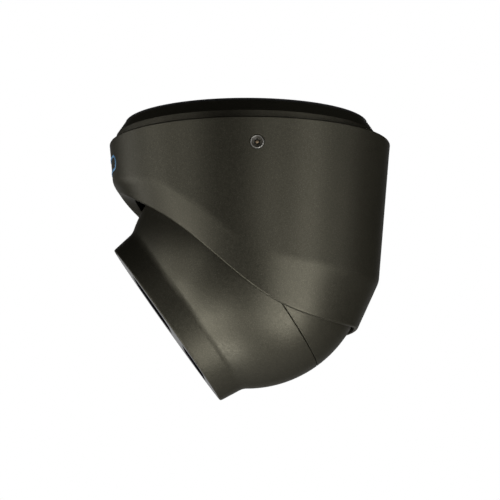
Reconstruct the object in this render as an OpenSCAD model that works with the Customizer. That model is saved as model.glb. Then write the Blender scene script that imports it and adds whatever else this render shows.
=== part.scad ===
// Turret security camera: ceiling plate, panning cover, tilting yoke and rolling ball with a motorised lens.
// Origin: the pan axis at the ceiling face. The camera hangs below it, and its lens side is toward -X.

/* [Cover] */
// Diameter of the cover at its top edge
cover_d = 144.2; // [143.8:0.1:144.6]
// Depth of the cover's top edge below the ceiling
cover_top = 11; // [10.8:0.1:11.2]
// How much the cover's radius shrinks for each mm down
cover_draft = 0.09; // [0.085:0.001:0.095]
// Thickness of the cover's wall
cover_wall = 2; // [1.8:0.1:2.1]
// Segments around the cover
cover_segments = 72; // [48:24:96]

/* [Ceiling plate] */
// Radius of the face that meets the ceiling
plate_r = 62.4; // [61:0.1:63]
// How far the plate's outer shape sits off the pan axis
plate_offset = 1.8; // [0:0.1:2]
// Circle that the three ceiling screws lie on
screw_pcd = 80; // [76:1:84]
// Radius of each ceiling screw hole
screw_hole_r = 2.25; // [2:0.05:2.6]
// Radius of the cable hole
cable_hole_r = 15; // [10:0.5:18]

/* [Ball] */
// Radius of the ball
ball_r = 61; // [60.8:0.1:61.2]
// Height of the ball's centre below the ceiling
ball_drop = 74.9; // [74.7:0.1:75.1]
// How far the lens points below the horizontal
aim = 35.6; // [30:0.1:40]
// Thickness of the ball's shells
shell_wall = 2.6; // [2.4:0.1:2.8]
// Distance from the ball's centre to the front face
face_t = 49.9; // [49.5:0.1:50.3]
// Radius of the nose at the front face
nose_r = 46.8; // [46.5:0.1:47]

/* [Lens] */
// Distance of the lens axis above the ball's own axis
lens_x = 12.8; // [12:0.1:13]
// Height of the lens port
port_d = 31.6; // [30:0.1:32]
// Width of the lens port across the face
port_w = 62; // [50:1:64]
// Height of the infrared light port
led_h = 18.4; // [17:0.1:19]
// Width of the infrared light port
led_w = 56; // [50:1:56]
// Teeth on the zoom and focus rings
ring_teeth = 56; // [56:4:56]
// Teeth on the motor pinions
pinion_teeth = 12; // [12:12:12]

/* [Hidden] */
$fn = 96;

bronze = [0.25, 0.24, 0.21];
black = [0.05, 0.05, 0.055];
steel = [0.62, 0.62, 0.60];
board_green = [0.05, 0.22, 0.12];
brass = [0.72, 0.58, 0.30];

cover_r = cover_d / 2;
gap = 0.3;
fit = 0.05;

// Heights of the cover's lower edge and of the crease above it, every 30 degrees from the front to the back
rim_heights = [-36.8, -44.6, -62.3, -89.8, -104.2, -106.8, -106.1];
crease_heights = [-31.3, -35.2, -45.6, -70.5, -79.8, -83.6, -82];
// Radius of the lower edge at the front, the sides and the back
rim_radii = [66.4, 62.6, 54.6];
// Radius of the lip's inner edge, every 45 degrees from the front to the back
lip_radii = [59, 62.8, 60.9, 55.6, 52.9];
lip_thick = 1.8;
// How far the lip's underside drops for each mm that it is wider than the wall
lip_slope = 0.4;
// Half-length of the rounding across the crease, at the front, the sides and the back
crease_softness = [2.4, 2.0, 2.0];

// Pan bearing
boss_r = 58;
boss_inner_r = 52;
boss_bottom = -16.2;
spigot_inner_r = 48;
spigot_bottom = -27;
ring_top = -12.6;
ring_bottom = -16;
retainer_top = boss_bottom;
retainer_bottom = -19;
retainer_r = 61;
retainer_pcd_r = 55;
plate_top = -1.2;
plate_web = -4;
flank_bottom = -12.2;

// Lock screws
lock_z = -23.3;
lock_turn = 3.3;
lock_head_r = 3.4;
lock_shank_r = 2;
lock_head_in = cover_r - cover_draft * (-lock_z - cover_top) - 2.3;

// Yoke
strap_in = ball_r + gap;
strap_out = strap_in + 1;
strap_w = 12;
pivot_r = 3;
pivot_end = 64.4;
pivot_pad_r = 6.5;
pivot_pad_y = 63.2;
bush_r = 6;
bush_bore_r = 4.2;
cable_r = 2.6;

// Ball
ball_x = -1.5;
shell_in = ball_r - shell_wall;
seam_gap = 0.35;
nose_root_t = 36.8;
nose_root_r = 48.5;
nose_bore_r = 42.5;
nose_fillet = 8;
panel_t = 2;
panel_r = nose_rebate_r() - 0.1;
tongue_out = 58.1;
tongue_in = 55.4;
post_ring_r = 38.5;
post_r = 4;
led_x = -23.5;
window_t = face_t - panel_t - 0.8;
window_thick = 2;
bezel_t = window_t - window_thick - 2;

// Lens
gear_module = 0.5;
gear_gap = 0.12;
gear_w = 4;
barrel_r = 10;
barrel_bore = 8.2;
barrel_foot = 8;
bell_t = 34;
bell_r = 12;
barrel_front = 40;
focus_t = 12;
zoom_t = 22;
pinion_y = gear_module * (ring_teeth + pinion_teeth) / 2;
motor_r = 4.5;
base_x = 32;
base_y = 22;

// Height at angle a of a smooth wave that runs through evenly spaced values h from 0 to 180 degrees
function wave_term(h, k, n) = (k == 0 || k == n ? 1 : 2) / n
    * wave_sum([for (j = [0:n]) (j == 0 || j == n ? 0.5 : 1) * h[j] * cos(180 * j * k / n)]);
function wave_sum(v, i = 0) = i >= len(v) ? 0 : v[i] + wave_sum(v, i + 1);
function wave_terms(h) = let (n = len(h) - 1) [for (k = [0:n]) wave_term(h, k, n)];
function wave(c, a) = wave_sum([for (k = [0:len(c) - 1]) c[k] * cos(k * a)]);

rim_wave = wave_terms(rim_heights);
crease_wave = wave_terms(crease_heights);
rim_r_wave = wave_terms(rim_radii);
lip_r_wave = wave_terms(lip_radii);
softness_wave = wave_terms(crease_softness);

function cover_radius(z) = cover_r + cover_draft * (z + cover_top);
function mix(a, b, t) = a + (b - a) * t;
function bend(a, b, c, t) = mix(mix(a, b, t), mix(b, c, t), t);
function unit(v) = v / norm(v);

// The wall's outline at one angle, as [radius, height], moved inward by d
function wall_line(a, d) = let (
    crease = [cover_radius(wave(crease_wave, a)) - d, wave(crease_wave, a)],
    rim = [wave(rim_r_wave, a) - d, wave(rim_wave, a)],
    soft = wave(softness_wave, a),
    above = crease + soft * unit([cover_draft, 1]),
    down = unit(rim - crease),
    below = crease + soft * down)
    concat([[cover_r - 6 * cover_draft - d, -cover_top - 6]],
        [for (t = [0:0.2:1]) bend(above, crease, below, t)], [rim - (d > 0 ? 2.2 : 0) * down]);
function reversed(v) = [for (i = [len(v) - 1:-1:0]) v[i]];
function wall_outline(a) = concat(
    [[cover_r - cover_wall, -cover_top], [cover_r - 0.8, -cover_top]],
    [for (b = [60:-30:0]) [cover_r - 0.8 + 0.8 * cos(b), -cover_top - 0.8 + 0.8 * sin(b)]],
    wall_line(a, 0), lip(a), reversed(wall_line(a, cover_wall)));

// The inward lip under the opening's edge, at one angle
function lip(a) = let (
    r = wave(lip_r_wave, a),
    width = wave(rim_r_wave, a) - r,
    z = wave(rim_wave, a) - lip_slope * max(0, width - cover_wall))
    [[r, z], [r, z + lip_thick]];

// A closed shell of revolution whose outline changes around it; angle 0 is the front, toward -X
module waved_shell() {
    n = cover_segments;
    m = len(wall_outline(0));
    step = 360 / n;
    points = [for (i = [0:n - 1]) for (p = wall_outline(i * step))
        [-p[0] * cos(i * step), -p[0] * sin(i * step), p[1]]];
    faces = [for (i = [0:n - 1]) for (j = [0:m - 1]) for (side = [0, 1])
        let (k = (j + 1) % m, next = (i + 1) % n, a = i * m + j, b = i * m + k, c = next * m + k, d = next * m + j)
        side == 0 ? [a, c, b] : [a, d, c]];
    polyhedron(points, faces, convexity = 6);
}

module ring(r_in, r_out, z0, z1) {
    translate([0, 0, z0])
        difference() {
            cylinder(h = z1 - z0, r = r_out);
            translate([0, 0, -1]) cylinder(h = z1 - z0 + 2, r = r_in);
        }
}

module disc(r, z0, z1) {
    translate([0, 0, z0]) cylinder(h = z1 - z0, r = r);
}

// Local Z is the optical axis and local X points up across the front face
module ball_frame() {
    translate([ball_x, 0, -ball_drop]) rotate([0, -90 - aim, 0]) children();
}

module lens_frame() {
    ball_frame() translate([lens_x, 0, 0]) children();
}

module on_both_sides() {
    children();
    mirror([0, 1, 0]) children();
}

// Along +Y from the ball's centre
module pivot_frame() {
    translate([ball_x, 0, -ball_drop]) rotate([-90, 0, 0]) children();
}

module pill(length, height) {
    for (s = [-1, 1]) translate([0, s * (length - height) / 2]) circle(d = height);
    square([height, length - height], center = true);
}

/* Ceiling plate */

module mount_plate() {
    color(bronze) difference() {
        union() {
            translate([-plate_offset, 0, 0]) rotate_extrude()
                polygon([[55, plate_web], [55, plate_top], [plate_r + 0.6, plate_top], [66.9, -7],
                    [66.9, flank_bottom], [64.6, flank_bottom], [64.6, -7.6], [61.5, plate_web]]);
            rotate_extrude()
                polygon([[cable_hole_r, plate_top], [58, plate_top], [boss_r, boss_bottom],
                    [boss_inner_r, boss_bottom], [boss_inner_r, spigot_bottom],
                    [spigot_inner_r, spigot_bottom], [spigot_inner_r, plate_web], [cable_hole_r, plate_web]]);
        }
        for (a = [0:120:240]) rotate([0, 0, a]) translate([screw_pcd / 2, 0, -5])
            cylinder(h = 5, r = screw_hole_r);
        for (a = [45:90:315]) rotate([0, 0, a]) translate([retainer_pcd_r, 0, boss_bottom - 1])
            cylinder(h = 9, r = 1.25);
    }
}

module ceiling_gasket() {
    color([0.03, 0.03, 0.03]) difference() {
        translate([-plate_offset, 0, 0]) disc(plate_r, plate_top, 0);
        disc(cable_hole_r + 2, plate_top - 1, 1);
        for (a = [0:120:240]) rotate([0, 0, a]) translate([screw_pcd / 2, 0, plate_top - 1])
            cylinder(h = 3, r = screw_hole_r + 1);
    }
}

module pan_washer() {
    color([0.85, 0.84, 0.80]) ring(boss_r + gap, 59.3, ring_top + 0.1, plate_web - 0.1);
}

module retaining_ring() {
    color(steel) difference() {
        ring(boss_inner_r + gap, retainer_r, retainer_bottom, retainer_top);
        for (a = [45:90:315]) rotate([0, 0, a]) translate([retainer_pcd_r, 0, retainer_bottom - 1])
            cylinder(h = 6, r = 1.6);
    }
}

module retaining_screws() {
    color(steel) for (a = [45:90:315]) rotate([0, 0, a]) translate([retainer_pcd_r, 0, 0])
        difference() {
            union() {
                disc(1.25, retainer_bottom, boss_bottom + 7);
                disc(2.6, retainer_bottom - 1.6, retainer_bottom);
            }
            disc(1, retainer_bottom - 2, retainer_bottom - 0.8);
        }
}

/* Cover */

module lock_frame() {
    for (side = [0, 180]) rotate([0, 0, -90 + side + lock_turn]) translate([0, 0, lock_z])
        rotate([0, 90, 0]) children();
}

module cover_shell() {
    color(bronze) difference() {
        union() {
            waved_shell();
            lock_frame() disc(4.6, 62, lock_head_in + 1);
        }
        lock_frame() disc(lock_shank_r, 60, lock_head_in + 1);
        lock_frame() disc(lock_head_r + 0.1, lock_head_in, cover_r + 1);
        on_both_sides() pivot_frame() {
            disc(pivot_pad_r, 58, pivot_pad_y);
            disc(pivot_r + fit, 58, pivot_end + 0.2);
        }
    }
}

module cover_ring() {
    color(black) translate([0, 0, ring_bottom])
        difference() {
            cylinder(h = ring_top - ring_bottom, r = cover_radius(ring_bottom) - cover_wall - 0.15);
            translate([0, 0, -1]) cylinder(h = 6, r = boss_r + fit);
        }
}

module lock_screws() {
    color(steel) lock_frame() difference() {
        union() {
            disc(lock_shank_r, boss_inner_r + 0.4, lock_head_in);
            disc(lock_head_r, lock_head_in, lock_head_in + 2.1);
        }
        translate([0, 0, lock_head_in + 0.7]) difference() {
            union() {
                cylinder(h = 3, r = 1.45);
                for (a = [0:60:300]) rotate([0, 0, a]) translate([1.35, 0, 0]) cylinder(h = 3, r = 0.42);
            }
            cylinder(h = 1.3, r = 0.75);
        }
    }
}

module front_badge() {
    badge_z = -23.2;
    badge_h = 7.7;
    badge_w = 45.6;
    line_w = 0.9;
    color([0.15, 0.45, 0.75]) intersection() {
        rotate_extrude() polygon([for (e = [[0, -12], [0.2, -12], [0.2, -28], [0, -28]])
            [cover_radius(e[1]) + e[0], e[1]]]);
        translate([-60, 0, badge_z]) rotate([0, -90, 0]) linear_extrude(20) difference() {
            pill(badge_w, badge_h);
            pill(badge_w - 2 * line_w, badge_h - 2 * line_w);
        }
    }
}

/* Yoke */

module yoke_strap() {
    color(steel) ball_frame() difference() {
        intersection() {
            difference() {
                sphere(r = strap_out);
                sphere(r = strap_in);
            }
            union() {
                translate([-strap_w / 2, -70, -70]) cube([strap_w, 140, 70]);
                rotate([-90, 0, 0]) translate([0, 0, -70]) cylinder(h = 140, r = 5);
                translate([0, 0, -70]) cylinder(h = 20, r = 9.5);
            }
        }
        translate([0, 0, -70]) cylinder(h = 20, r = bush_r);
        rotate([-90, 0, 0]) translate([0, 0, -70]) cylinder(h = 140, r = pivot_r);
    }
}

module tilt_pins() {
    color(steel) on_both_sides() pivot_frame() disc(pivot_r, strap_in + 0.1, pivot_end);
}

module tilt_washers() {
    color([0.85, 0.84, 0.80]) on_both_sides() pivot_frame() ring(pivot_r, 4.8, strap_out, pivot_pad_y - gap);
}

module roll_bush() {
    color(brass) ball_frame() mirror([0, 0, 1]) {
        ring(bush_bore_r, bush_r, 55.8, strap_out + 0.1);
        ring(bush_bore_r, 8, strap_out + 0.1, strap_out + 1.2);
    }
}

module roll_nut() {
    color(brass) ball_frame() mirror([0, 0, 1]) ring(bush_r, 9, 55.8, 57.3);
}

module cable_grommet() {
    color(black) ball_frame() mirror([0, 0, 1]) {
        ring(cable_r, bush_bore_r, 55, strap_out + 1.2);
        ring(cable_r, 6, strap_out + 1.2, strap_out + 3);
    }
}

/* Ball shells, drawn as [radius, distance along the optical axis] */

function nose_radius(t) = nose_root_r - (t - nose_root_t) * (nose_root_r - nose_r) / (face_t - nose_root_t);
function nose_rebate_r() = nose_r - 2.2;

// Concave rounding where the nose leaves the ball
module nose_fillet_profile() {
    taper = atan((nose_root_r - nose_r) / (face_t - nose_root_t));
    normal = [cos(taper), sin(taper)];
    along = [-sin(taper), cos(taper)];
    reach = normal * [nose_root_r, nose_root_t] + nose_fillet;
    centre = reach * normal + sqrt(pow(ball_r + nose_fillet, 2) - reach * reach) * along;
    difference() {
        polygon([centre, centre - nose_fillet * normal, [46, 40], [46, 33], unit(centre) * ball_r]);
        translate(centre) circle(r = nose_fillet);
    }
}

module front_shell_profile() {
    difference() {
        union() {
            intersection() {
                circle(r = ball_r);
                square([ball_r, nose_root_t]);
            }
            polygon([[0, 30], [nose_radius(30), 30], [nose_radius(face_t - 0.5), face_t - 0.5],
                [nose_r - 0.5, face_t], [0, face_t]]);
            nose_fillet_profile();
        }
        intersection() {
            circle(r = shell_in);
            square([ball_r, 34.8]);
        }
        square([nose_bore_r, face_t + 1]);
        translate([0, face_t - panel_t]) square([nose_rebate_r(), panel_t + 1]);
    }
    translate([35.5, 1]) square([23.5, 3]);
    translate([tongue_in, -5]) square([tongue_out - tongue_in, 6]);
}

module ball_front_shell() {
    color(bronze) ball_frame() difference() {
        rotate_extrude() front_shell_profile();
        rotate_extrude() translate([tongue_out - 1.2, -3.3]) square([2, 1.6]);
        post_places() disc(1.6, 0, 5);
    }
}

module post_places() {
    for (a = [60:120:300]) rotate([0, 0, a]) translate([post_ring_r, 0, 0]) children();
}

module ball_rear_shell() {
    color(bronze) ball_frame() difference() {
        union() {
            rotate_extrude() intersection() {
                difference() {
                    circle(r = ball_r);
                    circle(r = shell_in);
                }
                translate([0, -ball_r]) square([ball_r, ball_r - seam_gap]);
            }
            intersection() {
                sphere(r = shell_in + 0.5);
                post_places() disc(post_r, -50, 1);
            }
        }
        post_places() disc(1.5, -14, 2);
        translate([0, 0, -70]) cylinder(h = 20, r = bush_r + fit);
    }
}

module shell_seal() {
    color([0.02, 0.02, 0.02]) ball_frame() rotate_extrude()
        translate([57.55, -2.5]) circle(r = 0.65, $fn = 32);
}

module shell_screws() {
    color(steel) ball_frame() post_places() difference() {
        union() {
            disc(1.5, -12, 4);
            disc(2.8, 4, 6.2);
        }
        disc(1.1, 5, 7);
    }
}

/* Front face */

// The outlines of both ports, grown by g on every side
module lens_port(g) {
    translate([lens_x, 0]) pill(port_w + 2 * g, port_d + 2 * g);
}

module led_port(g) {
    translate([led_x, 0]) pill(led_w + 2 * g, led_h + 2 * g);
}

module ports(g) {
    lens_port(g);
    led_port(g);
}

module front_panel() {
    color(black) ball_frame() difference() {
        disc(panel_r, face_t - panel_t, face_t);
        translate([0, 0, face_t - panel_t - 1]) linear_extrude(panel_t + 2) ports(0);
    }
}

module window_gaskets() {
    color([0.02, 0.02, 0.02]) ball_frame() translate([0, 0, window_t])
        linear_extrude(face_t - panel_t - window_t) difference() {
            ports(1.8);
            ports(0);
        }
}

module lens_window() {
    color([0.6, 0.65, 0.7, 0.4]) ball_frame() translate([0, 0, window_t - window_thick])
        linear_extrude(window_thick) lens_port(1.8);
}

module led_window() {
    color([0.12, 0.02, 0.03]) ball_frame() translate([0, 0, window_t - window_thick])
        linear_extrude(window_thick) led_port(1.8);
}

module inner_bezel() {
    post_t = 37.6;
    color(black) ball_frame() {
        difference() {
            disc(nose_bore_r - 0.1, bezel_t, bezel_t + 2);
            translate([lens_x, 0, bezel_t - 1]) cylinder(h = 4, r = 14);
            translate([0, 0, bezel_t - 1]) linear_extrude(4) led_port(-2.5);
        }
        for (s = [-1, 1]) translate([led_x, s * (led_w / 2 - 1), 0]) disc(1.4, post_t, bezel_t);
    }
}

module led_board() {
    color(board_green) ball_frame() translate([led_x - 7, -29, 36]) cube([14, 58, 1.6]);
}

module leds() {
    color([0.85, 0.85, 0.8]) ball_frame() for (s = [-1, 1]) translate([led_x, s * 13, 37.6]) {
        translate([-2.5, -2.5, 0]) cube([5, 5, 1.2]);
        intersection() {
            translate([0, 0, 0.4]) sphere(r = 4);
            cylinder(h = 5, r = 3.2);
        }
    }
}

module light_baffle() {
    color([0.02, 0.02, 0.02]) lens_frame() ring(bell_r, 13.8, barrel_front - 2, window_t - window_thick);
}

/* Motorised lens */

// Half the angle that a tooth covers at radius r, for an involute of pitch radius p
function roll(r, b) = let (a = acos(min(1, b / r))) tan(a) * 180 / PI - a;
function tooth_half(r, n) = let (p = gear_module * n / 2, b = p * cos(20))
    90 / n - gear_gap / p * 90 / PI + roll(p, b) - roll(max(r, b), b);
function tooth_points(n) = let (p = gear_module * n / 2, low = p - 1.2 * gear_module,
    radii = [low, max(low, p * cos(20)), p, p + 0.85 * gear_module])
    concat([for (r = radii) [r, -tooth_half(r, n)]],
        [for (i = [3:-1:0]) [radii[i], tooth_half(radii[i], n)]]);

module gear(n, bore) {
    tooth = tooth_points(n);
    linear_extrude(gear_w) difference() {
        polygon([for (i = [0:n - 1]) for (q = tooth)
            q[0] * [cos(q[1] + i * 360 / n), sin(q[1] + i * 360 / n)]]);
        circle(r = bore);
    }
}

module lens_barrel() {
    color(black) lens_frame() difference() {
        union() {
            disc(barrel_r, barrel_foot, barrel_front);
            disc(bell_r, bell_t, barrel_front);
            for (t = [focus_t, zoom_t]) for (e = [-1.2, gear_w + gap]) disc(bell_r, t + e, t + e + 0.9);
        }
        disc(barrel_bore, barrel_foot - 1, barrel_front + 1);
        disc(barrel_r + 0.2, bell_t + 1, barrel_front + 1);
    }
}

module front_lens_element() {
    color([0.55, 0.6, 0.75, 0.5]) lens_frame() intersection() {
        disc(barrel_r + 0.2, bell_t + 1, barrel_front);
        translate([0, 0, bell_t - 14]) sphere(r = 18.5);
    }
}

module rear_lens_element() {
    color([0.55, 0.6, 0.75, 0.5]) lens_frame() intersection() {
        disc(barrel_bore, focus_t - 1, focus_t + 3);
        translate([0, 0, focus_t + 14]) sphere(r = 15);
    }
}

module lens_base() {
    ear_t = 5;
    color(black) lens_frame() difference() {
        union() {
            translate([-base_x / 2, -base_y / 2, -0.8]) cube([base_x, base_y, barrel_foot + 0.8]);
            translate([-6, -23.5, ear_t]) cube([12, 47, barrel_foot - ear_t]);
            translate([-5, 22, ear_t]) cube([10, 2, 26]);
            translate([-6, 12.8, 29]) cube([12, 11.2, 2]);
        }
        translate([-13, -7, -2]) cube([26, 14, 5]);
        disc(barrel_bore, 0, barrel_foot + 1);
        translate([0, -pinion_y, 0]) disc(motor_r, 0, barrel_foot + 1);
        translate([0, pinion_y, 0]) disc(motor_r, 20, 32);
    }
}

module lens_bracket() {
    color(steel) ball_frame() difference() {
        disc(41, 4, 5);
        translate([lens_x - base_x / 2 - 0.1, -base_y / 2 - 0.1, 3]) cube([base_x + 0.2, base_y + 0.2, 3]);
        translate([lens_x, -pinion_y, 3]) cylinder(h = 3, r = motor_r + 0.3);
        post_places() disc(3.2, 3, 6);
    }
}

module zoom_ring() {
    color([0.12, 0.12, 0.12]) lens_frame() translate([0, 0, zoom_t]) gear(ring_teeth, barrel_r + fit);
}

module focus_ring() {
    color([0.12, 0.12, 0.12]) lens_frame() translate([0, 0, focus_t]) gear(ring_teeth, barrel_r + fit);
}

// A pinion's own tooth space faces the ring
module pinion(t, side) {
    color(brass) lens_frame() translate([0, side * pinion_y, t]) rotate([0, 0, 180 / pinion_teeth])
        gear(pinion_teeth, 1 + fit);
}

module zoom_pinion() {
    pinion(zoom_t, 1);
}

module focus_pinion() {
    pinion(focus_t, -1);
}

module motor(shaft_t0, shaft_t1, body_t0, body_t1, side) {
    color(steel) lens_frame() translate([0, side * pinion_y, 0]) {
        disc(1, shaft_t0, shaft_t1);
        disc(motor_r, body_t0, body_t1);
    }
}

module zoom_motor() {
    motor(zoom_t - 0.5, 28, 27.6, 38, 1);
}

module focus_motor() {
    motor(10, focus_t + gear_w + 0.5, -2, 10.8, -1);
}

module ir_filter_carrier() {
    color(black) lens_frame() difference() {
        translate([-12, -5.5, 0.4]) cube([18, 11, 1.2]);
        for (x = [-7.5, 1]) translate([x - 3.4, -3.6, 0]) cube([6.8, 7.2, 2]);
    }
}

module ir_filter_glasses() {
    color([0.6, 0.25, 0.35, 0.5]) lens_frame()
        for (x = [-7.5, 1]) translate([x - 3.4, -3.6, 0.6]) cube([6.8, 7.2, 0.7]);
}

/* Electronics */

module sensor_board() {
    color(board_green) lens_frame() translate([-base_x / 2, -base_y / 2, -2.4]) cube([base_x, base_y, 1.6]);
}

module image_sensor() {
    color([0.15, 0.15, 0.2]) lens_frame() translate([-4.5, -3.5, -0.8]) cube([9, 7, 0.9]);
}

module main_board() {
    color(board_green) ball_frame() difference() {
        disc(33.5, -12, -10.4);
        standoff_places() disc(1.25, -13, -9);
    }
}

module standoff_places() {
    for (x = [-13, 13]) for (y = [-8, 8]) translate([lens_x + x, y, 0]) children();
}

module board_standoffs() {
    color(brass) ball_frame() standoff_places() {
        disc(1.25, -12, -10.4);
        disc(2.2, -10.4, -2.4);
    }
}

module thermal_pad() {
    color([0.75, 0.75, 0.78]) ball_frame() translate([-9, -9, -14]) cube([18, 18, 2]);
}

module heat_spreader() {
    color([0.7, 0.7, 0.7]) ball_frame() disc(30, -16, -14);
}

mount_plate();
ceiling_gasket();
pan_washer();
retaining_ring();
retaining_screws();
cover_shell();
cover_ring();
lock_screws();
front_badge();
yoke_strap();
tilt_pins();
tilt_washers();
roll_bush();
roll_nut();
cable_grommet();
ball_front_shell();
ball_rear_shell();
shell_seal();
shell_screws();
front_panel();
window_gaskets();
lens_window();
led_window();
inner_bezel();
led_board();
leds();
light_baffle();
lens_barrel();
front_lens_element();
rear_lens_element();
lens_base();
lens_bracket();
zoom_ring();
focus_ring();
zoom_motor();
focus_motor();
zoom_pinion();
focus_pinion();
ir_filter_carrier();
ir_filter_glasses();
sensor_board();
image_sensor();
main_board();
board_standoffs();
thermal_pad();
heat_spreader();
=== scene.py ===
"""Looks for the turret camera: detailed shells, materials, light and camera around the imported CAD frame."""

from math import asin, atan, atan2, cos, degrees, pi, radians, sin, sqrt

import bmesh
import bpy
from mathutils import Matrix, Vector


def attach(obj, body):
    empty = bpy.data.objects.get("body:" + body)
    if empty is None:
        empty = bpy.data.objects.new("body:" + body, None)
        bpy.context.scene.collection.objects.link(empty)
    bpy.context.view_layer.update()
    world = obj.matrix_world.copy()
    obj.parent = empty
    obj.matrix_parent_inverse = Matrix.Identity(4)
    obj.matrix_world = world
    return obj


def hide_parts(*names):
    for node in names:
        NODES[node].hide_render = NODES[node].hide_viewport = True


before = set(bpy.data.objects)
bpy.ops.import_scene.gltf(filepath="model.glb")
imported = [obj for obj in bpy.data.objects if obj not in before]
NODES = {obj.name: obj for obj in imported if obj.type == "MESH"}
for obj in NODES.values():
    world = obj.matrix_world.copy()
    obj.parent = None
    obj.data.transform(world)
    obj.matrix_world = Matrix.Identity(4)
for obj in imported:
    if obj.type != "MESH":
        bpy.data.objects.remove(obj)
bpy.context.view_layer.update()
MM = 0.001

# Driving dimensions, the same as the CAD model's, in millimetres and degrees. The cover's lists run
# at even steps of angle from its front to its back.
COVER_R = 72.1
COVER_TOP = -11.0
COVER_DRAFT = 0.09
COVER_WALL = 2.0
RIM_HEIGHTS = (-36.8, -44.6, -62.3, -89.8, -104.2, -106.8, -106.1)
CREASE_HEIGHTS = (-31.3, -35.2, -45.6, -70.5, -79.8, -83.6, -82.0)
RIM_RADII = (66.4, 62.6, 54.6)
LIP_RADII = (59.0, 62.8, 60.9, 55.6, 52.9)
LIP_THICK = 1.8
LIP_SLOPE = 0.4
CREASE_SOFTNESS = (2.4, 2.0, 2.0)
BALL_CENTRE = Vector((-1.5, 0.0, -74.9))
AIM = 35.6
BALL_R = 61.0
SHELL_WALL = 2.6
SEAM_GAP = 0.35
NOSE_ROOT = (48.5, 36.8)
NOSE_R = 46.8
NOSE_FILLET = 8.0
FACE_T = 49.9
PANEL_THICK = 2.0
NOSE_REBATE_R = 44.6
NOSE_BORE_R = 42.5
LENS_X = 12.8
PORT_W = 62.0
PORT_H = 31.6
LED_X = -23.5
LED_W = 56.0
LED_H = 18.4
LOCK_Z = -23.3
LOCK_TURN = 3.3
LOCK_HEAD_R = 3.4
LOCK_HEAD_H = 2.1
LED_PITCH = 26.0

# How far the visual shells' sharp edges are broken
EDGE_BREAK = 0.25


# ---------------------------------------------------------------- frames

def ball_matrix():
    """Local Z is the optical axis and local X points up across the front face."""
    return Matrix.Translation(BALL_CENTRE) @ Matrix.Rotation(radians(-90 - AIM), 4, "Y")


BALL = ball_matrix()
LENS = BALL @ Matrix.Translation((LENS_X, 0, 0))


def lock_matrix(side):
    """Local Z runs outward along a lock screw's axis; side is 0 for the near one and 180 for the far one."""
    turn = Matrix.Rotation(radians(-90 + side + LOCK_TURN), 4, "Z")
    return turn @ Matrix.Translation((0, 0, LOCK_Z)) @ Matrix.Rotation(radians(90), 4, "Y")


# ---------------------------------------------------------------- mesh helpers

def make_object(name, points, faces, matrix, material, body, replaces=()):
    """A smooth-shaded mesh piece from millimetre points, riding on a CAD body."""
    mesh = bpy.data.meshes.new(name)
    mesh.from_pydata([(matrix @ Vector(p)) * MM for p in points], [], faces)
    return finish_mesh(name, mesh, material, body, replaces)


def finish_mesh(name, mesh, material, body, replaces=(), sharp=40):
    """Cleans, shades and links a mesh as a piece; edges over the sharp angle in degrees stay crisp."""
    work = bmesh.new()
    work.from_mesh(mesh)
    bmesh.ops.remove_doubles(work, verts=work.verts, dist=1e-7)
    bmesh.ops.recalc_face_normals(work, faces=work.faces)
    work.to_mesh(mesh)
    work.free()
    mesh.shade_smooth()
    mesh.set_sharp_from_angle(angle=radians(sharp))
    mesh.materials.append(material)
    piece = bpy.data.objects.new(name, mesh)
    bpy.context.scene.collection.objects.link(piece)
    weighted = piece.modifiers.new("weighted_normals", "WEIGHTED_NORMAL")
    weighted.keep_sharp = True
    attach(piece, body)
    if replaces:
        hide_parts(*replaces)
    return piece


def rounded(outline, radii, steps=6):
    """A closed outline with each corner rounded by its own radius; 0 leaves it sharp."""
    result = []
    count = len(outline)
    for i, corner in enumerate(outline):
        p = Vector(corner)
        radius = radii[i] if isinstance(radii, (list, tuple)) else radii
        if radius <= 0:
            result.append(tuple(p))
            continue
        before = (Vector(outline[i - 1]) - p).normalized()
        after = (Vector(outline[(i + 1) % count]) - p).normalized()
        half = before.angle(after) / 2
        reach = radius / max(1e-6, sin(half) / cos(half))
        middle = (before + after).normalized() * (radius / sin(half))
        start, end = before * reach - middle, after * reach - middle
        sweep = start.angle(end)
        for k in range(steps + 1):
            t = k / steps
            a = sin((1 - t) * sweep) / sin(sweep)
            b = sin(t * sweep) / sin(sweep)
            result.append(tuple(p + middle + start * a + end * b))
    return result


def revolve(name, outline, matrix, material, body, replaces=(), steps=192):
    """A closed [radius, height] outline turned about local Z; it may be a function of the angle."""
    points = []
    for i in range(steps):
        a = 2 * pi * i / steps
        line = outline(a) if callable(outline) else outline
        count = len(line)
        points += [(r * cos(a), r * sin(a), z) for r, z in line]
    faces = []
    for i in range(steps):
        for j in range(count):
            faces.append((i * count + j, i * count + (j + 1) % count,
                          (i + 1) % steps * count + (j + 1) % count, (i + 1) % steps * count + j))
    return make_object(name, points, faces, matrix, material, body, replaces)


def arc(centre, radius, start, end, steps):
    """Points on a circle from one angle to another, in degrees."""
    cx, cy = centre
    return [(cx + radius * cos(radians(start + (end - start) * k / steps)),
             cy + radius * sin(radians(start + (end - start) * k / steps))) for k in range(steps + 1)]


def wave_terms(heights):
    """Cosine terms of a smooth wave through evenly spaced values from the front to the back."""
    n = len(heights) - 1
    terms = []
    for k in range(n + 1):
        total = sum((0.5 if j in (0, n) else 1) * heights[j] * cos(pi * j * k / n) for j in range(n + 1))
        terms.append((1 if k in (0, n) else 2) / n * total)
    return terms


def wave(terms, a):
    """The wave's value at an angle from the front, in radians."""
    return sum(c * cos(k * a) for k, c in enumerate(terms))


# ---------------------------------------------------------------- materials

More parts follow.
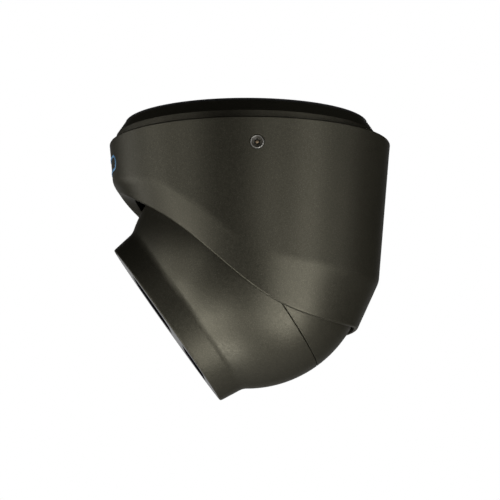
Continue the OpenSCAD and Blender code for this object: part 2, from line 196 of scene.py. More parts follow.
class Shader:
    """A Principled material with short calls for the nodes that its surface detail uses."""

    def __init__(self, name, metallic=0.0, roughness=0.5, **sockets):
        self.material = bpy.data.materials.new(name)
        self.material.use_nodes = True
        self.nodes = self.material.node_tree.nodes
        self.links = self.material.node_tree.links
        self.bsdf = next(n for n in self.nodes if n.type == "BSDF_PRINCIPLED")
        self.bsdf.inputs["Metallic"].default_value = metallic
        self.bsdf.inputs["Roughness"].default_value = roughness
        for key, value in sockets.items():
            self.bsdf.inputs[key.replace("_", " ")].default_value = value
        self.place = self.nodes.new("ShaderNodeTexCoord").outputs["Object"]

    def link(self, source, target):
        self.links.new(source, target)

    def stretch(self, scale):
        """Coordinates scaled by a different amount along each axis."""
        node = self.nodes.new("ShaderNodeVectorMath")
        node.operation = "MULTIPLY"
        self.link(self.place, node.inputs[0])
        node.inputs[1].default_value = scale
        return node.outputs[0]

    def noise(self, scale, detail=3.0, rough=0.5, vector=None):
        """Fractal noise, as cycles per metre unless the vector is already stretched."""
        node = self.nodes.new("ShaderNodeTexNoise")
        self.link(vector or self.place, node.inputs["Vector"])
        node.inputs["Scale"].default_value = scale
        node.inputs["Detail"].default_value = detail
        node.inputs["Roughness"].default_value = rough
        return node.outputs["Fac"]

    def cells(self, scale, vector=None):
        """Distance from the nearest of many scattered points."""
        node = self.nodes.new("ShaderNodeTexVoronoi")
        self.link(vector or self.place, node.inputs["Vector"])
        node.inputs["Scale"].default_value = scale
        return node.outputs["Distance"]

    def span(self, value, low, high, out_low=0.0, out_high=1.0):
        """Maps low..high to out_low..out_high and stops at the ends."""
        node = self.nodes.new("ShaderNodeMapRange")
        self.link(value, node.inputs["Value"])
        for key, number in (("From Min", low), ("From Max", high), ("To Min", out_low), ("To Max", out_high)):
            node.inputs[key].default_value = number
        return node.outputs["Result"]

    def mix(self, factor, a, b):
        """A colour between a and b, each a colour or a node's output; the factor is a number or an output."""
        node = self.nodes.new("ShaderNodeMix")
        node.data_type = "RGBA"
        if isinstance(factor, float):
            node.inputs["Factor"].default_value = factor
        else:
            self.link(factor, node.inputs["Factor"])
        for key, value in (("A", a), ("B", b)):
            socket = [s for s in node.inputs if s.name == key and s.type == "RGBA"][0]
            if isinstance(value, (tuple, list)):
                socket.default_value = (*value, 1.0)
            else:
                self.link(value, socket)
        return [s for s in node.outputs if s.type == "RGBA"][0]

    def math(self, operation, a, b):
        node = self.nodes.new("ShaderNodeMath")
        node.operation = operation
        for socket, value in zip(node.inputs, (a, b)):
            if isinstance(value, (int, float)):
                socket.default_value = value
            else:
                self.link(value, socket)
        return node.outputs[0]

    def pointiness(self):
        """Above a half on outside edges."""
        return self.nodes.new("ShaderNodeNewGeometry").outputs["Pointiness"]

    def colour(self, source):
        self.link(source, self.bsdf.inputs["Base Color"])

    def rough(self, source):
        self.link(source, self.bsdf.inputs["Roughness"])

    def bump(self, height, distance, strength=1.0):
        """Raised surface detail; the distance is in metres."""
        node = self.nodes.new("ShaderNodeBump")
        node.inputs["Distance"].default_value = distance
        node.inputs["Strength"].default_value = strength
        self.link(height, node.inputs["Height"])
        self.link(node.outputs["Normal"], self.bsdf.inputs["Normal"])


def powder_coat():
    """Dark bronze powder coat: fine orange peel, pale metal flecks and a slightly rubbed look on edges."""
    s = Shader("bronze_powder_coat", metallic=0.75, Coat_Weight=0.05, Coat_Roughness=0.35)
    grain = s.noise(1500, 3, 0.6)
    flecks = s.cells(1900)
    tone = s.mix(s.span(grain, 0.32, 0.68), (0.066, 0.0615, 0.0440), (0.110, 0.1020, 0.0740))
    drift = s.mix(s.span(s.noise(28, 2), 0.35, 0.65), (0.078, 0.0735, 0.0530), (0.095, 0.0885, 0.0640))
    flecked = s.mix(s.span(flecks, 0.10, 0.22, 0.55, 0.0), s.mix(0.45, tone, drift), (0.30, 0.28, 0.22))
    worn = s.mix(s.span(s.pointiness(), 0.56, 0.64, 0.0, 0.35), flecked, (0.22, 0.205, 0.16))
    s.colour(worn)
    s.rough(s.span(s.noise(700, 3), 0.3, 0.7, 0.36, 0.46))
    peel = s.math("MULTIPLY", s.noise(600, 2), 0.7)
    s.bump(s.math("ADD", s.math("MULTIPLY", grain, 0.6), peel), 0.00006, 0.35)
    return s.material


def moulded(name, dark, light, rough=(0.42, 0.55), grain=1400, depth=0.00004):
    """Spark-eroded moulded plastic."""
    s = Shader(name)
    fine = s.noise(grain, 4, 0.6)
    s.colour(s.mix(s.span(s.noise(60, 3), 0.3, 0.7), dark, light))
    s.rough(s.span(fine, 0.3, 0.7, *rough))
    s.bump(fine, depth, 0.5)
    return s.material


def gloss_panel():
    """Piano-black acrylic with faint polishing haze."""
    s = Shader("gloss_panel", Coat_Weight=0.6, Coat_Roughness=0.03)
    s.colour(s.mix(s.span(s.noise(90, 2), 0.35, 0.65), (0.006, 0.006, 0.007), (0.010, 0.010, 0.012)))
    s.rough(s.span(s.noise(260, 4), 0.3, 0.7, 0.05, 0.11))
    s.bump(s.noise(120, 2), 0.00001, 0.1)
    return s.material


def soft_rubber():
    """Matt black rubber with a dusty bloom."""
    s = Shader("soft_rubber")
    fine = s.noise(1800, 4, 0.7)
    s.colour(s.mix(s.span(s.noise(140, 4), 0.3, 0.7), (0.010, 0.010, 0.010), (0.024, 0.023, 0.022)))
    s.rough(s.span(fine, 0.3, 0.7, 0.72, 0.9))
    s.bump(fine, 0.00005, 0.5)
    return s.material


def foam():
    """Closed-cell sealing foam."""
    s = Shader("sealing_foam")
    pores = s.cells(900)
    s.colour(s.mix(s.span(pores, 0.15, 0.6), (0.006, 0.006, 0.006), (0.022, 0.022, 0.022)))
    s.rough(s.span(s.noise(500, 3), 0.3, 0.7, 0.8, 0.96))
    s.bump(pores, 0.00015, 0.6)
    return s.material


def brushed_steel():
    """Stainless with drawn grain along local Z."""
    s = Shader("brushed_steel", metallic=1.0)
    grain = s.noise(1.0, 3, 0.6, s.stretch((2600, 2600, 160)))
    s.colour(s.mix(s.span(grain, 0.3, 0.7), (0.42, 0.42, 0.41), (0.62, 0.61, 0.59)))
    s.rough(s.span(grain, 0.25, 0.75, 0.22, 0.40))
    s.bump(grain, 0.00001, 0.3)
    return s.material


def screw_steel(name, dark, light, rough):
    """Turned and plated steel with tool marks and dark spots."""
    s = Shader(name, metallic=1.0)
    spots = s.noise(2200, 4, 0.7)
    s.colour(s.mix(s.span(spots, 0.35, 0.65), dark, light))
    s.rough(s.span(s.noise(1600, 3), 0.3, 0.7, *rough))
    s.bump(s.noise(1.0, 2, 0.5, s.stretch((3500, 3500, 3500))), 0.00001, 0.3)
    return s.material


def machined_brass():
    """Brass turned about local Z."""
    s = Shader("machined_brass", metallic=1.0)
    marks = s.noise(1.0, 3, 0.6, s.stretch((500, 500, 3200)))
    s.colour(s.mix(s.span(marks, 0.3, 0.7), (0.50, 0.36, 0.15), (0.70, 0.53, 0.26)))
    s.rough(s.span(marks, 0.3, 0.7, 0.22, 0.38))
    s.bump(marks, 0.00001, 0.3)
    return s.material


def blue_mark():
    """Screen-printed ink over the powder coat."""
    s = Shader("blue_print", roughness=0.35)
    grain = s.noise(1500, 3, 0.6)
    s.colour(s.mix(s.span(grain, 0.3, 0.7), (0.150, 0.360, 0.620), (0.220, 0.450, 0.740)))
    s.rough(s.span(grain, 0.3, 0.7, 0.30, 0.42))
    s.bump(grain, 0.00004, 0.3)
    return s.material


def coated_glass(name, tint, coat_tint, rough=0.015):
    """Optical glass with an anti-reflection coating's colour."""
    s = Shader(name, roughness=rough, IOR=1.5, Transmission_Weight=1.0,
               Coat_Weight=0.4, Coat_Roughness=0.02, Coat_Tint=(*coat_tint, 1.0))
    s.colour(s.mix(s.span(s.noise(80, 2), 0.3, 0.7), tint, tuple(min(1.0, c * 1.04) for c in tint)))
    s.rough(s.span(s.noise(220, 3), 0.3, 0.7, rough, rough + 0.02))
    return s.material


def dark_window():
    """Infrared-pass plastic: nearly black with a trace of deep red."""
    s = Shader("infrared_window", Coat_Weight=0.3, Coat_Roughness=0.03)
    s.colour(s.mix(s.span(s.noise(70, 2), 0.3, 0.7), (0.012, 0.003, 0.004), (0.024, 0.006, 0.008)))
    s.rough(s.span(s.noise(240, 3), 0.3, 0.7, 0.05, 0.10))
    return s.material


def circuit_board():
    """Solder mask over copper tracks, with bare pads."""
    s = Shader("circuit_board", Coat_Weight=0.3, Coat_Roughness=0.2)
    tracks = s.cells(420, s.stretch((1.0, 0.35, 1.0)))
    pads = s.cells(330)
    mask = s.mix(s.span(tracks, 0.25, 0.35), (0.010, 0.085, 0.040), (0.004, 0.042, 0.022))
    s.colour(s.mix(s.span(pads, 0.12, 0.16, 1.0, 0.0), mask, (0.55, 0.52, 0.42)))
    s.rough(s.span(s.noise(600, 3), 0.3, 0.7, 0.28, 0.42))
    s.bump(tracks, 0.00003, 0.4)
    return s.material


def lamp_epoxy():
    """The infrared lamps' milky epoxy."""
    s = Shader("lamp_epoxy", Transmission_Weight=0.5, Coat_Weight=0.5)
    s.colour(s.mix(s.span(s.noise(500, 3), 0.3, 0.7), (0.60, 0.58, 0.50), (0.80, 0.78, 0.70)))
    s.rough(s.span(s.noise(900, 2), 0.3, 0.7, 0.06, 0.15))
    return s.material


def milled_aluminium():
    """Aluminium with cutter marks along local X."""
    s = Shader("milled_aluminium", metallic=1.0)
    marks = s.noise(1.0, 3, 0.6, s.stretch((180, 2400, 2400)))
    s.colour(s.mix(s.span(marks, 0.3, 0.7), (0.55, 0.55, 0.56), (0.75, 0.75, 0.76)))
    s.rough(s.span(marks, 0.3, 0.7, 0.28, 0.44))
    s.bump(marks, 0.00001, 0.3)
    return s.material


BRONZE = powder_coat()
PART_BLACK = moulded("part_black", (0.010, 0.010, 0.011), (0.018, 0.018, 0.018))
ACETAL = moulded("white_acetal", (0.62, 0.61, 0.57), (0.72, 0.71, 0.67), (0.35, 0.45), 900)
PAD_GREY = moulded("pad_grey", (0.30, 0.32, 0.35), (0.40, 0.42, 0.45), (0.7, 0.85), 1600)
CHIP = moulded("sensor_chip", (0.010, 0.010, 0.020), (0.030, 0.028, 0.050), (0.10, 0.2), 2000)
GLOSS = gloss_panel()
RUBBER = soft_rubber()
FOAM = foam()
STEEL = brushed_steel()
SCREW = screw_steel("screw_steel", (0.34, 0.33, 0.30), (0.62, 0.60, 0.56), (0.20, 0.38))
SCREW_RIM = screw_steel("screw_rim", (0.52, 0.50, 0.45), (0.88, 0.86, 0.81), (0.38, 0.55))
SCREW_PIN = screw_steel("screw_pin", (0.30, 0.23, 0.15), (0.46, 0.36, 0.25), (0.55, 0.7))
SCREW_PAINT = moulded("screw_paint", (0.070, 0.064, 0.050), (0.120, 0.110, 0.088), (0.34, 0.46), 1500)
BRASS = machined_brass()
BLUE = blue_mark()
WINDOW_GLASS = coated_glass("window_glass", (0.93, 0.96, 0.95), (0.95, 0.9, 1.0))
LENS_GLASS = coated_glass("lens_glass", (0.82, 0.86, 0.95), (0.55, 0.85, 0.75))
FILTER_GLASS = coated_glass("filter_glass", (0.75, 0.45, 0.55), (0.9, 0.5, 0.6))
DARK_WINDOW = dark_window()
BOARD = circuit_board()
LAMP = lamp_epoxy()
ALUMINIUM = milled_aluminium()

NODE_MATERIALS = {
    PART_BLACK: ["cover_ring", "inner_bezel", "lens_base", "lens_barrel", "zoom_ring", "focus_ring",
                 "ir_filter_carrier"],
    FOAM: ["ceiling_gasket"],
    RUBBER: ["shell_seal", "window_gaskets", "light_baffle", "cable_grommet"],
    ACETAL: ["pan_washer", "tilt_washers"],
    STEEL: ["retaining_ring", "yoke_strap", "lens_bracket", "zoom_motor", "focus_motor"],
    SCREW: ["retaining_screws", "tilt_pins", "shell_screws", "lock_screws"],
    BRASS: ["roll_bush", "roll_nut", "zoom_pinion", "focus_pinion", "board_standoffs"],
    BLUE: ["front_badge"],
    WINDOW_GLASS: ["lens_window"],
    LENS_GLASS: ["front_lens_element", "rear_lens_element"],
    FILTER_GLASS: ["ir_filter_glasses"],
    DARK_WINDOW: ["led_window"],
    BOARD: ["led_board", "sensor_board", "main_board"],
    LAMP: ["leds"],
    CHIP: ["image_sensor"],
    PAD_GREY: ["thermal_pad"],
    ALUMINIUM: ["heat_spreader"],
    BRONZE: ["mount_plate", "cover_shell", "ball_front_shell", "ball_rear_shell"],
    GLOSS: ["front_panel"],
}


def dress_nodes():
    """Gives every CAD node its material."""
    for material, names in NODE_MATERIALS.items():
        for name in names:
            node = NODES[name]
            if not node.material_slots:
                node.data.materials.append(material)
            for slot in node.material_slots:
                slot.material = material


# ---------------------------------------------------------------- cover

RIM = wave_terms(RIM_HEIGHTS)
CREASE = wave_terms(CREASE_HEIGHTS)
RIM_R = wave_terms(RIM_RADII)
LIP_R = wave_terms(LIP_RADII)
SOFTNESS = wave_terms(CREASE_SOFTNESS)


def cover_radius(z):
    """The flank's radius at one height."""
    return COVER_R + COVER_DRAFT * (z - COVER_TOP)


def curved(a, b, c, steps):
    """A quadratic curve from a to c, pulled towards b."""
    points = []
    for k in range(steps + 1):
        t = k / steps
        points.append(tuple(a.lerp(b, t).lerp(b.lerp(c, t), t)))
    return points


def wall_line(a, inset, steps=12):
    """The cover's wall at one angle, from below its top edge to near the rim, and the rim's own point."""
    shoulder = 6
    crease = Vector((cover_radius(wave(CREASE, a)) - inset, wave(CREASE, a)))
    rim = Vector((wave(RIM_R, a) - inset, wave(RIM, a)))
    soft = wave(SOFTNESS, a)
    above = crease + soft * Vector((COVER_DRAFT, 1)).normalized()
    below = crease + soft * (rim - crease).normalized()
    start = Vector((cover_radius(COVER_TOP - shoulder) - inset, COVER_TOP - shoulder))
    straight = [tuple(start.lerp(above, k / 6)) for k in range(6)]
    return straight + curved(above, crease, below, steps) + [tuple(below.lerp(rim, 0.4))], tuple(rim)


def wall_outline(a):
    """The cover's closed outline at one angle, with a softly rounded lip under the opening's edge."""
    edge = 0.8
    tip_round, foot_round = 0.9, 0.35
    join_drop = 2.2
    outer, rim = wall_line(a, 0)
    inner, inner_rim = wall_line(a, COVER_WALL)
    top = [(COVER_R - COVER_WALL, COVER_TOP), (COVER_R - edge - 0.5, COVER_TOP)]
    top += arc((COVER_R - edge, COVER_TOP - edge), edge, 90, 0, 6)
    tip, root = Vector(rim), Vector(inner_rim)
    down = (tip - Vector(outer[-1])).normalized()
    lip_r = wave(LIP_R, a)
    foot = Vector((lip_r, rim[1] - LIP_SLOPE * max(0.0, rim[0] - lip_r - COVER_WALL)))
    inward = (foot - tip).normalized()
    turn = curved(tip - down * tip_round, tip, tip + inward * 0.7, 5)
    foot_turn = curved(foot - inward * foot_round, foot, foot + Vector((0, foot_round)), 3)
    head = foot + Vector((0, LIP_THICK))
    join = root - down * join_drop
    head_turn = [tuple(head - Vector((0, 0.3))), tuple(head.lerp(join, 0.12))]
    return top + outer + turn + foot_turn + head_turn + [tuple(join)] + inner[::-1]


def cut_mesh(piece, cutters):
    """The mesh left when closed helpers are cut from a piece. Takes the piece and the helpers away."""
    for cutter in cutters:
        cut = piece.modifiers.new("cut", "BOOLEAN")
        cut.operation = "DIFFERENCE"
        cut.solver = "EXACT"
        cut.object = cutter
    bpy.context.view_layer.update()
    graph = bpy.context.evaluated_depsgraph_get()
    mesh = bpy.data.meshes.new_from_object(piece.evaluated_get(graph))
    for helper in [piece, *cutters]:
        bpy.data.objects.remove(helper)
    return mesh


def helper_lathe(name, outline, matrix, steps=64):
    """A closed turned solid to cut with or to cut from; radius 0 points sit on the axis."""
    work = bmesh.new()
    rings = []
    for r, z in outline:
        if r == 0:
            rings.append([work.verts.new((matrix @ Vector((0, 0, z))) * MM)])
        else:
            turns = [2 * pi * i / steps for i in range(steps)]
            rings.append([work.verts.new((matrix @ Vector((r * cos(a), r * sin(a), z))) * MM) for a in turns])
    for low, high in zip(rings, rings[1:]):
        for i in range(steps):
            j = (i + 1) % steps
            loop = [low[i % len(low)], low[j % len(low)], high[j % len(high)], high[i % len(high)]]
            unique = list(dict.fromkeys(loop))
            if len(unique) > 2:
                work.faces.new(unique)
    bmesh.ops.recalc_face_normals(work, faces=work.faces)
    mesh = bpy.data.meshes.new(name)
    work.to_mesh(mesh)
    work.free()
    piece = bpy.data.objects.new(name, mesh)
    bpy.context.scene.collection.objects.link(piece)
    return piece


def lock_seat_z():
    """Where the lock screw's counterbore starts, measured outward from the pan axis."""
    return cover_radius(LOCK_Z) - 2.3


def cover_mesh():
    """The cover's wall swept round the pan axis; angle 0 is the front."""
    steps = 288
    outline = [wall_outline(2 * pi * i / steps) for i in range(steps)]
    count = len(outline[0])
    points = []
    for i, ring in enumerate(outline):
        a = 2 * pi * i / steps
        points += [(-r * cos(a) * MM, -r * sin(a) * MM, z * MM) for r, z in ring]
    faces = [(i * count + j, i * count + (j + 1) % count,
              (i + 1) % steps * count + (j + 1) % count, (i + 1) % steps * count + j)
             for i in range(steps) for j in range(count)]
    mesh = bpy.data.meshes.new("cover")
    mesh.from_pydata(points, [], faces)
    work = bmesh.new()
    work.from_mesh(mesh)
    bmesh.ops.recalc_face_normals(work, faces=work.faces)
    work.to_mesh(mesh)
    work.free()
    return mesh


def build_cover():
    """The cover with its lock screw holes, pivot seats and inner screw bosses."""
    shell = bpy.data.objects.new("cover_raw", cover_mesh())
    bpy.context.scene.collection.objects.link(shell)
    cutters = []
    seat = lock_seat_z()
    r = LOCK_HEAD_R + 0.12
    bore_r = 2.0
    out = seat + 3.4
    recess = [(0, seat), (r, seat), (r, seat + 1.75), (r + 0.3, seat + 2.28), (r + 0.8, out), (0, out)]
    bore = [(0, seat - 3), (bore_r, seat - 3), (bore_r, seat + 0.5), (0, seat + 0.5)]
    pad_r, pad_end = 6.5, 63.2
    pin_r, pin_end = 3.05, 64.6
    pivot = [(0, 58), (pad_r, 58), (pad_r, pad_end), (pin_r, pad_end), (pin_r, pin_end), (0, pin_end)]
    for side in (0, 180):
        cutters.append(helper_lathe("lock_cut", recess, lock_matrix(side)))
        cutters.append(helper_lathe("lock_bore", bore, lock_matrix(side)))
    for side in (-1, 1):
        turn = Matrix.Translation(BALL_CENTRE) @ Matrix.Rotation(radians(-90 * side), 4, "X")
        cutters.append(helper_lathe("pivot_pad", pivot, turn))
    finish_mesh("cover", cut_mesh(shell, cutters), BRONZE, "cover", ["cover_shell"], sharp=35)
    boss_r, boss_end = 4.6, 62.0
    outline = rounded([(bore_r, boss_end), (boss_r, boss_end), (boss_r, seat + 0.2), (bore_r, seat + 0.2)],
                      [0.2, 0.4, 0, 0])
    for side in (0, 180):
        revolve("lock_boss_%d" % side, outline, lock_matrix(side), BRONZE, "cover", (), 48)


# ---------------------------------------------------------------- ball

def nose_radius(t):
    """The nose's radius at one distance along the optical axis."""
    return NOSE_ROOT[0] - (t - NOSE_ROOT[1]) * (NOSE_ROOT[0] - NOSE_R) / (FACE_T - NOSE_ROOT[1])


def nose_fillet():
    """Centre of the concave rounding between the nose and the ball, and the ends of its arc in degrees."""
    taper = atan((NOSE_ROOT[0] - NOSE_R) / (FACE_T - NOSE_ROOT[1]))
    normal = Vector((cos(taper), sin(taper)))
    along = Vector((-sin(taper), cos(taper)))
    reach = normal.dot(Vector(NOSE_ROOT)) + NOSE_FILLET
    centre = reach * normal + sqrt((BALL_R + NOSE_FILLET) ** 2 - reach ** 2) * along
    on_nose = degrees(atan2(-normal.y, -normal.x))
    on_ball = degrees(atan2(-centre.y, -centre.x))
    return centre, on_ball % 360, on_nose % 360


def front_shell_outline():
    """The front shell as a closed outline: [radius, distance along the optical axis]."""
    inner_r = BALL_R - SHELL_WALL
    centre, on_ball, on_nose = nose_fillet()
    meet = degrees(atan2(centre.y, centre.x))
    seam_edge = degrees(EDGE_BREAK / BALL_R)
    brow = 0.6
    points = [(BALL_R - EDGE_BREAK, 0.0)]
    points += arc((0, 0), BALL_R, seam_edge, meet, 28)
    points += arc(tuple(centre), NOSE_FILLET, on_ball, on_nose, 14)[1:]
    points += [(nose_radius(FACE_T - k), FACE_T - k) for k in (8.0, 4.0, 1.2)]
    points += arc((NOSE_R - brow - 0.02, FACE_T - brow), brow, 0, 90, 6)
    points += arc((NOSE_REBATE_R + EDGE_BREAK, FACE_T - EDGE_BREAK), EDGE_BREAK, 90, 180, 4)
    points += [(NOSE_REBATE_R, FACE_T - PANEL_THICK), (NOSE_BORE_R, FACE_T - PANEL_THICK)]
    bore_t = sqrt(inner_r ** 2 - NOSE_BORE_R ** 2)
    inner_end = min(bore_t, 34.8)
    points += [(NOSE_BORE_R, inner_end)]
    flange_r, flange_low, flange_high = 35.5, 1.0, 4.0
    skirt_in, skirt_out, skirt_end = 55.4, 58.1, -5.0
    start = degrees(asin(inner_end / inner_r))
    stop = degrees(asin(flange_high / inner_r))
    points += arc((0, 0), inner_r, start, stop, 20)
    points += [(flange_r, flange_high), (flange_r, flange_low), (skirt_in, flange_low)]
    points += [(skirt_in, skirt_end), (skirt_out, skirt_end), (skirt_out, 0.0)]
    return points


def rear_shell_outline():
    """The rear shell as a closed outline, from the hole for the roll bush to the seam and back inside."""
    inner_r = BALL_R - SHELL_WALL
    hole = 6.05
    edge = degrees(EDGE_BREAK / BALL_R)
    seam = degrees(SEAM_GAP / BALL_R)
    tail = degrees(asin(hole / BALL_R))
    tail_in = degrees(asin(hole / inner_r))
    points = arc((0, 0), BALL_R, -90 + tail + 0.3, -seam - edge, 40)
    points += [(BALL_R - EDGE_BREAK, -SEAM_GAP), (inner_r, -SEAM_GAP)]
    points += arc((0, 0), inner_r, -seam - 0.2, -90 + tail_in, 36)
    return points


def build_ball():
    """Both shells, turned about the optical axis."""
    for name, outline in (("ball_front", front_shell_outline()), ("ball_rear", rear_shell_outline())):
        revolve(name, outline, BALL, BRONZE, "ball", [name + "_shell"], 240)


# ---------------------------------------------------------------- face, screws and lens details

def pill_outline(length, height, steps=32):
    """A pill centred on local X = 0 that is long across local Y."""
    r, reach = height / 2, (length - height) / 2
    return arc((0, reach), r, 0, 180, steps) + arc((0, -reach), r, 180, 360, steps)


def helper_prism(name, outline, x, low, high, matrix):
    """A closed straight prism used only for cutting."""
    count = len(outline)
    points = [(matrix @ Vector((px + x, py, t))) * MM for t in (low, high) for px, py in outline]
    faces = [tuple(range(count - 1, -1, -1)), tuple(range(count, 2 * count))]
    faces += [(i, (i + 1) % count, (i + 1) % count + count, i + count) for i in range(count)]
    mesh = bpy.data.meshes.new(name)
    mesh.from_pydata(points, [], faces)
    piece = bpy.data.objects.new(name, mesh)
    bpy.context.scene.collection.objects.link(piece)
    return piece


def add_bevel(piece, width):
    """Rounds the edges a little, before the other modifiers; the width is in millimetres."""
    bevel = piece.modifiers.new("bevel", "BEVEL")
    bevel.width = width * MM
    bevel.segments = 3
    bevel.limit_method = "ANGLE"
    bevel.angle_limit = radians(35)
    bevel.harden_normals = False
    piece.modifiers.move(len(piece.modifiers) - 1, 0)


def build_face():
    """The gloss panel with both ports, its port edges broken."""
    low, high = FACE_T - PANEL_THICK, FACE_T
    r = NOSE_REBATE_R - 0.12
    blank = helper_lathe("panel_blank", [(0, low), (r, low), (r, high), (0, high)], BALL, 192)
    ports = ((pill_outline(PORT_W, PORT_H), LENS_X), (pill_outline(LED_W, LED_H), LED_X))
    cutters = [helper_prism("port_cut", outline, x, low - 1, high + 1, BALL) for outline, x in ports]
    panel = finish_mesh("panel", cut_mesh(blank, cutters), GLOSS, "ball", ["front_panel"])
    add_bevel(panel, 0.12)


def build_lock_screws():
    """Security screws: a bright rim, a painted dish, a six-point star socket and its centre pin."""
    seat = lock_seat_z()
    top = seat + LOCK_HEAD_H
    tail, tail_chamfer = 52.4, 0.5
    r = LOCK_HEAD_R
    rim = rounded([(r - 0.8, seat), (r, seat), (r, top), (r - 0.75, top - 0.45)], [0, 0.05, 0.45, 0.1])
    shank = [(0.7, tail), (1.7, tail), (2.0, tail + tail_chamfer), (2.0, seat + 0.3), (0.7, seat + 0.3)]

    def dish(a):
        """The painted face at one angle, down into the star socket and up to the pin's foot."""
        star = 1.42 + 0.36 * max(0.0, cos(6 * a)) ** 0.7 - 0.10 * max(0.0, -cos(6 * a))
        return [(r - 0.75, seat), (r - 0.75, top - 0.3), (2.3, top - 0.5), (star + 0.12, top - 0.56),
                (star, top - 0.66), (star * 0.97, seat + 0.55), (0.95, seat + 0.45), (0.78, seat + 0.6)]

    pin = [(0.79, seat + 0.3), (0.79, top - 0.85), (0.62, top - 0.68), (0.02, top - 0.62), (0.02, seat + 0.3)]

    parts = (("lock_rim", rim, SCREW_RIM, 64), ("lock_dish", dish, SCREW_PAINT, 144),
             ("lock_pin", pin, SCREW_PIN, 32), ("lock_shank", shank, SCREW, 48))
    for side in (0, 180):
        for name, outline, material, steps in parts:
            revolve("%s_%d" % (name, side), outline, lock_matrix(side), material, "cover",
                    ["lock_screws"], steps)


def build_lens_details():
    """What shows through the windows: the lens bell's stepped bore and the lamps' reflector rings."""
    bell_t, bell_r = 40.0, 11.95
    tread, riser = 0.35, 0.45
    steps = [(10.25, bell_t)]
    for k in range(4):
        r, t = 10.45 + tread * k, bell_t + riser * k
        steps += [(r, t + 0.05), (r, t + 0.5)]
    steps += [(bell_r, bell_t + 1.9), (bell_r, bell_t)]
    revolve("bell_steps", steps, LENS, PART_BLACK, "ball", (), 128)
    cup = [(3.6, 37.65), (4.9, 37.65), (5.6, 40.4), (5.2, 40.6), (4.0, 38.2), (3.6, 38.0)]
    for name, side in (("lamp_cup_right", -1), ("lamp_cup_left", 1)):
        spot = BALL @ Matrix.Translation((LED_X, side * LED_PITCH / 2, 0))
        revolve(name, cup, spot, STEEL, "ball", (), 64)


# ---------------------------------------------------------------- camera, light and stage

def build_stage():
    """A pale floor well below the hanging camera."""
    size, drop, cells = 8.0, -1.3, 24
    row = cells + 1
    points = [(size * (i / cells - 0.5), size * (j / cells - 0.5), drop)
              for i in range(row) for j in range(row)]
    faces = [(i * row + j, (i + 1) * row + j, (i + 1) * row + j + 1, i * row + j + 1)
             for i in range(cells) for j in range(cells)]
    mesh = bpy.data.meshes.new("floor")
    mesh.from_pydata(points, [], faces)
    shade = Shader("floor_paper", roughness=0.9)
    shade.colour(shade.mix(shade.span(shade.noise(3, 2), 0.3, 0.7), (0.90, 0.90, 0.89), (0.94, 0.94, 0.93)))
    mesh.materials.append(shade.material)
    floor = bpy.data.objects.new("floor", mesh)
    bpy.context.scene.collection.objects.link(floor)


def build_world(seen, backdrop):
    """White to the camera. To the object it is black, with a soft glow behind, toward +Y."""
    world = bpy.data.worlds.new("studio")
    bpy.context.scene.world = world
    world.use_nodes = True
    tree = world.node_tree
    tree.nodes.clear()
    output = tree.nodes.new("ShaderNodeOutputWorld")
    mix = tree.nodes.new("ShaderNodeMixShader")
    path = tree.nodes.new("ShaderNodeLightPath")
    place = tree.nodes.new("ShaderNodeTexCoord")
    split = tree.nodes.new("ShaderNodeSeparateXYZ")
    glow = tree.nodes.new("ShaderNodeMapRange")
    tree.links.new(place.outputs["Generated"], split.inputs[0])
    tree.links.new(split.outputs["Y"], glow.inputs["Value"])
    for key, number in (("From Min", 0.86), ("From Max", 0.97), ("To Min", 0.0), ("To Max", backdrop)):
        glow.inputs[key].default_value = number
    for index in (1, 2):
        back = tree.nodes.new("ShaderNodeBackground")
        back.inputs["Color"].default_value = (1.0, 1.0, 1.0, 1.0)
        back.inputs["Strength"].default_value = seen
        if index == 1:
            tree.links.new(glow.outputs["Result"], back.inputs["Strength"])
        tree.links.new(back.outputs[0], mix.inputs[index])
    tree.links.new(path.outputs["Is Camera Ray"], mix.inputs[0])
    tree.links.new(mix.outputs[0], output.inputs["Surface"])


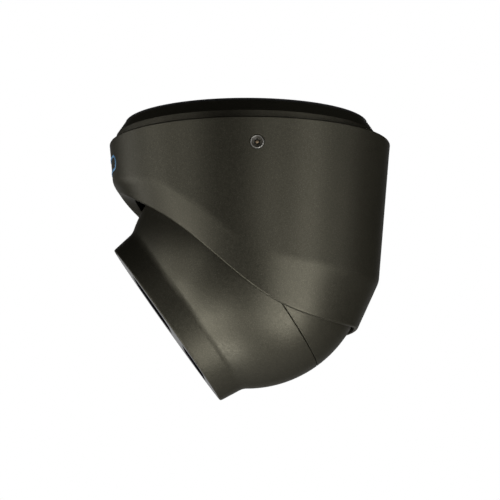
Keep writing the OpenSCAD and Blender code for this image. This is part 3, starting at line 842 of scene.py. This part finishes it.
def add_light(name, place, target, size, power):
    """A square panel of white light that faces the target."""
    data = bpy.data.lights.new(name, "AREA")
    data.shape = "RECTANGLE"
    data.size, data.size_y = size, size
    data.energy = power
    lamp = bpy.data.objects.new(name, data)
    lamp.location = place
    lamp.rotation_euler = (Vector(target) - Vector(place)).to_track_quat("-Z", "Y").to_euler()
    bpy.context.scene.collection.objects.link(lamp)


def build_lights():
    """Soft panels round the camera, by azimuth from the viewer and elevation, in degrees and watts."""
    middle = Vector((0.0, 0.0, -0.065))
    reach, size = 1.1, 0.4
    panels = (("under_face", -90, -75, 2.25), ("low_right", 60, -50, 2.1), ("left", -70, -25, 2.0),
              ("right", 55, -25, 1.95), ("low_left", -60, -50, 1.9), ("key", 30, -25, 1.5),
              ("low_key", 30, -50, 1.05), ("low_fill", -30, -50, 1.0), ("level_right", 50, 0, 0.85),
              ("level_left", -80, 0, 0.75), ("behind_left", -110, 0, 0.7), ("left_fill", -50, 0, 0.55),
              ("front_fill", 15, 0, 0.5), ("far_right", 80, 0, 0.3), ("back", 180, 20, 5.0))
    for name, azimuth, elevation, power in panels:
        a, e = radians(azimuth), radians(elevation)
        way = Vector((sin(a) * cos(e), -cos(a) * cos(e), sin(e)))
        add_light(name, middle + reach * way, middle, size, power)


def build_camera():
    """A long lens a little below the camera's cover, looking slightly up along +Y."""
    target = Vector((0.0001, 0.0, -0.0651))
    distance, azimuth, elevation = 0.9494, 0.472, -8.563
    a, e = radians(azimuth), radians(elevation)
    back = Vector((sin(a) * cos(e), -cos(a) * cos(e), sin(e)))
    data = bpy.data.cameras.new("camera")
    data.sensor_width = 36.0
    data.lens = 133.6
    data.clip_start = 0.05
    data.clip_end = 50.0
    camera = bpy.data.objects.new("camera", data)
    camera.location = target + back * distance
    camera.rotation_euler = (-back).to_track_quat("-Z", "Y").to_euler()
    bpy.context.scene.collection.objects.link(camera)
    bpy.context.scene.camera = camera


# ---------------------------------------------------------------- the whole scene

bpy.context.scene.view_settings.view_transform = "Standard"
build_camera()
build_world(seen=1.0, backdrop=0.25)
build_lights()
build_stage()
dress_nodes()
build_cover()
build_ball()
build_face()
build_lock_screws()
build_lens_details()
